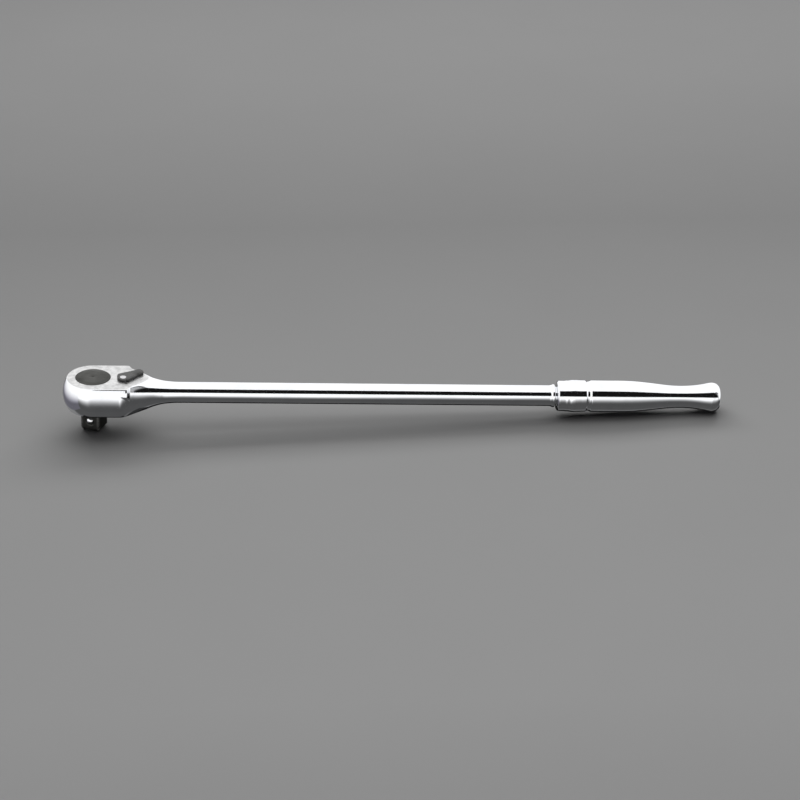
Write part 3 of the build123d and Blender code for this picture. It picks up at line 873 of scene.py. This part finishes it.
def card(name, origin, du, dv, level=None, tint=None, step=0.025):
    """Flat glowing card from a corner and two edges; level(x, y, z) gives its brightness."""
    o, a, b = (np.array(v, float) for v in (origin, du, dv))
    fine = callable(level)
    nu = max(1, int(round(np.linalg.norm(a) / step))) if fine else 1
    nv = max(1, int(round(np.linalg.norm(b) / step))) if fine else 1
    pts = [o + a * i / nu + b * k / nv for k in range(nv + 1) for i in range(nu + 1)]
    faces = [(k * (nu + 1) + i, k * (nu + 1) + i + 1, (k + 1) * (nu + 1) + i + 1, (k + 1) * (nu + 1) + i)
             for k in range(nv) for i in range(nu)]
    me = bpy.data.meshes.new(name)
    me.from_pydata([tuple(v) for v in pts], [], faces)
    q = np.array(pts)
    lev = level(q[:, 0], q[:, 1], q[:, 2]) if fine else np.full(len(q), float(level))
    col = np.ones((len(q), 4))
    col[:, :3] = lev[:, None] * (np.ones(3) if tint is None else tint(q[:, 0], q[:, 1], q[:, 2]))
    at = me.attributes.new("light", "FLOAT_COLOR", "POINT")
    at.data.foreach_set("color", col.astype(np.float32).ravel())
    ob = bpy.data.objects.new(name, me)
    bpy.context.scene.collection.objects.link(ob)
    me.materials.append(card_light)
    ob.visible_camera = ob.visible_diffuse = ob.visible_shadow = ob.visible_transmission = False
    return ob


def front_low(x, y, z):
    shift = np.interp(x, (-0.8, -0.2, -0.06, -0.02, 0.03, 0.07, 0.16, 0.207, 0.253, 0.30, 0.345, 0.414, 0.446, 0.6),
                      (0.06, 0.06, 0.0, 0.0, 0.05, 0.075, 0.08, 0.055, -0.005, 0.0, -0.03, -0.07, -0.09, -0.09))
    return np.interp(z + shift, (-0.50, -0.41, -0.34, -0.285, -0.232, -0.184, -0.137, -0.094, -0.053, -0.02, 0.02),
                     (0.09, 0.10, 0.125, 0.18, 0.27, 0.40, 0.56, 0.78, 1.03, 1.25, WHITE))


def side_tint(lo, hi):
    def f(x, y, z):
        t = (1 - ramp(z, lo, hi))[:, None]
        return (1 - t) + t * np.array(LILAC)
    return f


card("ceiling", (-0.8, -0.375, 0.70), (2.2, 0, 0), (0, 1.475, 0),
     lambda x, y, z: WHITE - (WHITE - GAP) * ramp(-0.24 - y, 0.0, 0.04) * ramp(x, 0.72, 0.84))
card("back_wall", (-0.8, 1.1, -0.9), (2.2, 0, 0), (0, 0, 1.6),
     lambda x, y, z: 0.25 + (WHITE - 0.25) * ramp(z, -0.02, 0.14))
card("left_wall", (-0.8, -0.6, -0.9), (0, 1.7, 0), (0, 0, 2.3),
     lambda x, y, z: 0.16 + (WHITE - 0.16) * ramp(z, -0.50, 0.12), side_tint(-0.50, 0.0))
card("right_wall", (1.4, -0.6, -0.9), (0, 1.7, 0), (0, 0, 2.3),
     lambda x, y, z: 0.08 + 0.42 * ramp(y, 0.05, 0.30) * (1 - ramp(z, -0.25, 0.02))
     + (WHITE - 0.08) * ramp(z, -0.25, 0.02) * (0.36 + 0.64 * ramp(y, -0.42, -0.30)))
card("front_strip", (-0.8, -0.6, -0.9), (2.2, 0, 0), (0, 0, 1.145), front_low)
card("front_left", (-0.8, -0.6, 0.245), (0.75, 0, 0), (0, 0, 0.455), WHITE)
card("front_left_top", (-0.8, -0.6, 0.70), (0.735, 0, 0), (0, 0, 0.70), WHITE)
card("front_left_low", (-0.05, -0.6, 0.245), (0.05, 0, 0), (0, 0, 0.175), WHITE)
card("gap_low", (0.0, -0.6, 0.245), (1.05, 0, 0), (0, 0, 0.175), GAP)
card("gap_high", (-0.05, -0.6, 0.42), (1.10, 0, 0), (0, 0, 0.98), GAP)
card("gap_corner", (-0.065, -0.6, 0.70), (0.015, 0, 0), (0, 0, 0.70), GAP)
card("front_right", (1.05, -0.6, 0.245), (0.35, 0, 0), (0, 0, 1.155), lambda x, y, z: GAP + 0.45 * ramp(x, 1.10, 1.40))
# below stands in for the floor in the metal's reflections; it is dimmer towards the front, a painted shadow of the tool
# on the floor there
card("below", (-0.8, -0.6, -0.9), (2.2, 0, 0), (0, 1.7, 0), lambda x, y, z: 0.095 + 0.155 * ramp(y, -0.05, 0.25))
# dark sheets just under the tool: painted shadow, the contact shadow on the floor as the metal reflects it
card("shadow_sheet_head", (-0.012, -0.0185, -0.0163), (0.038, 0, 0), (0, 0.0165, 0), 0.012)
card("shadow_sheet_neck", (0.026, -0.012, -0.0164), (0.014, 0, 0), (0, 0.010, 0), 0.035)
card("shadow_sheet_near", (-0.010, -0.002, -0.0165), (0.43, 0, 0), (0, 0.062, 0), 0.012)

world = bpy.data.worlds.new("studio")
bpy.context.scene.world = world
world.use_nodes = True
world.node_tree.nodes["Background"].inputs["Color"].default_value = (0.01, 0.01, 0.011, 1)
world.node_tree.nodes["Background"].inputs["Strength"].default_value = 1.0

# backdrop seen by the camera only
def dome():
    v, f = lathe([(-3000.0 * math.cos(t), 3000.0 * math.sin(t)) for t in np.linspace(0.0, math.pi, 17)], 32)
    ob = build("backdrop", v, f)
    dress(ob, glow("backdrop_grey", 0.27))
    ob.visible_glossy = ob.visible_diffuse = ob.visible_shadow = ob.visible_transmission = False


dome()


def area(name, size, loc, target, watts, glossy=False):
    li = bpy.data.lights.new(name, "AREA")
    li.shape = "RECTANGLE"
    li.size, li.size_y = size
    li.energy = watts
    li.cycles.use_multiple_importance_sampling = False
    ob = bpy.data.objects.new(name, li)
    bpy.context.scene.collection.objects.link(ob)
    ob.location = loc
    ob.rotation_mode = "QUATERNION"
    ob.rotation_quaternion = (Vector(target) - Vector(loc)).to_track_quat("-Z", "Y")
    ob.visible_glossy = glossy
    ob.visible_camera = False
    return ob


area("back_bank", (1.9, 0.445), (0.2, 0.94, 0.747), (0.2, 0.0, 0.0), 10.4)
area("overhead", (2.6, 1.24), (0.2, 0.51, 1.3), (0.2, 0.51, 0.0), 11.4)
area("overhead_front", (2.6, 0.80), (0.2, -0.51, 1.3), (0.2, -0.51, 0.0), 3.2)

# ------------------------------------------------------------------ camera
cam = bpy.data.cameras.new("camera")
cam.lens, cam.sensor_width = 100.0, 36.0
cam.clip_start, cam.clip_end = 0.05, 20.0
cam_ob = bpy.data.objects.new("camera", cam)
bpy.context.scene.collection.objects.link(cam_ob)
right = Vector((0.9972664, -0.0605085, 0.0424081))
up = Vector((-0.0088461, 0.4720380, 0.8815338))
fwd = Vector((0.0733585, 0.8794992, -0.4702124))
m = Matrix((
    (right.x, up.x, -fwd.x, 0.0881604),
    (right.y, up.y, -fwd.y, -1.2202101),
    (right.z, up.z, -fwd.z, 0.6581403),
    (0, 0, 0, 1)))
cam_ob.matrix_world = m
bpy.context.scene.camera = cam_ob
bpy.context.scene.view_settings.view_transform = "Standard"
bpy.context.scene.view_settings.look = "None"
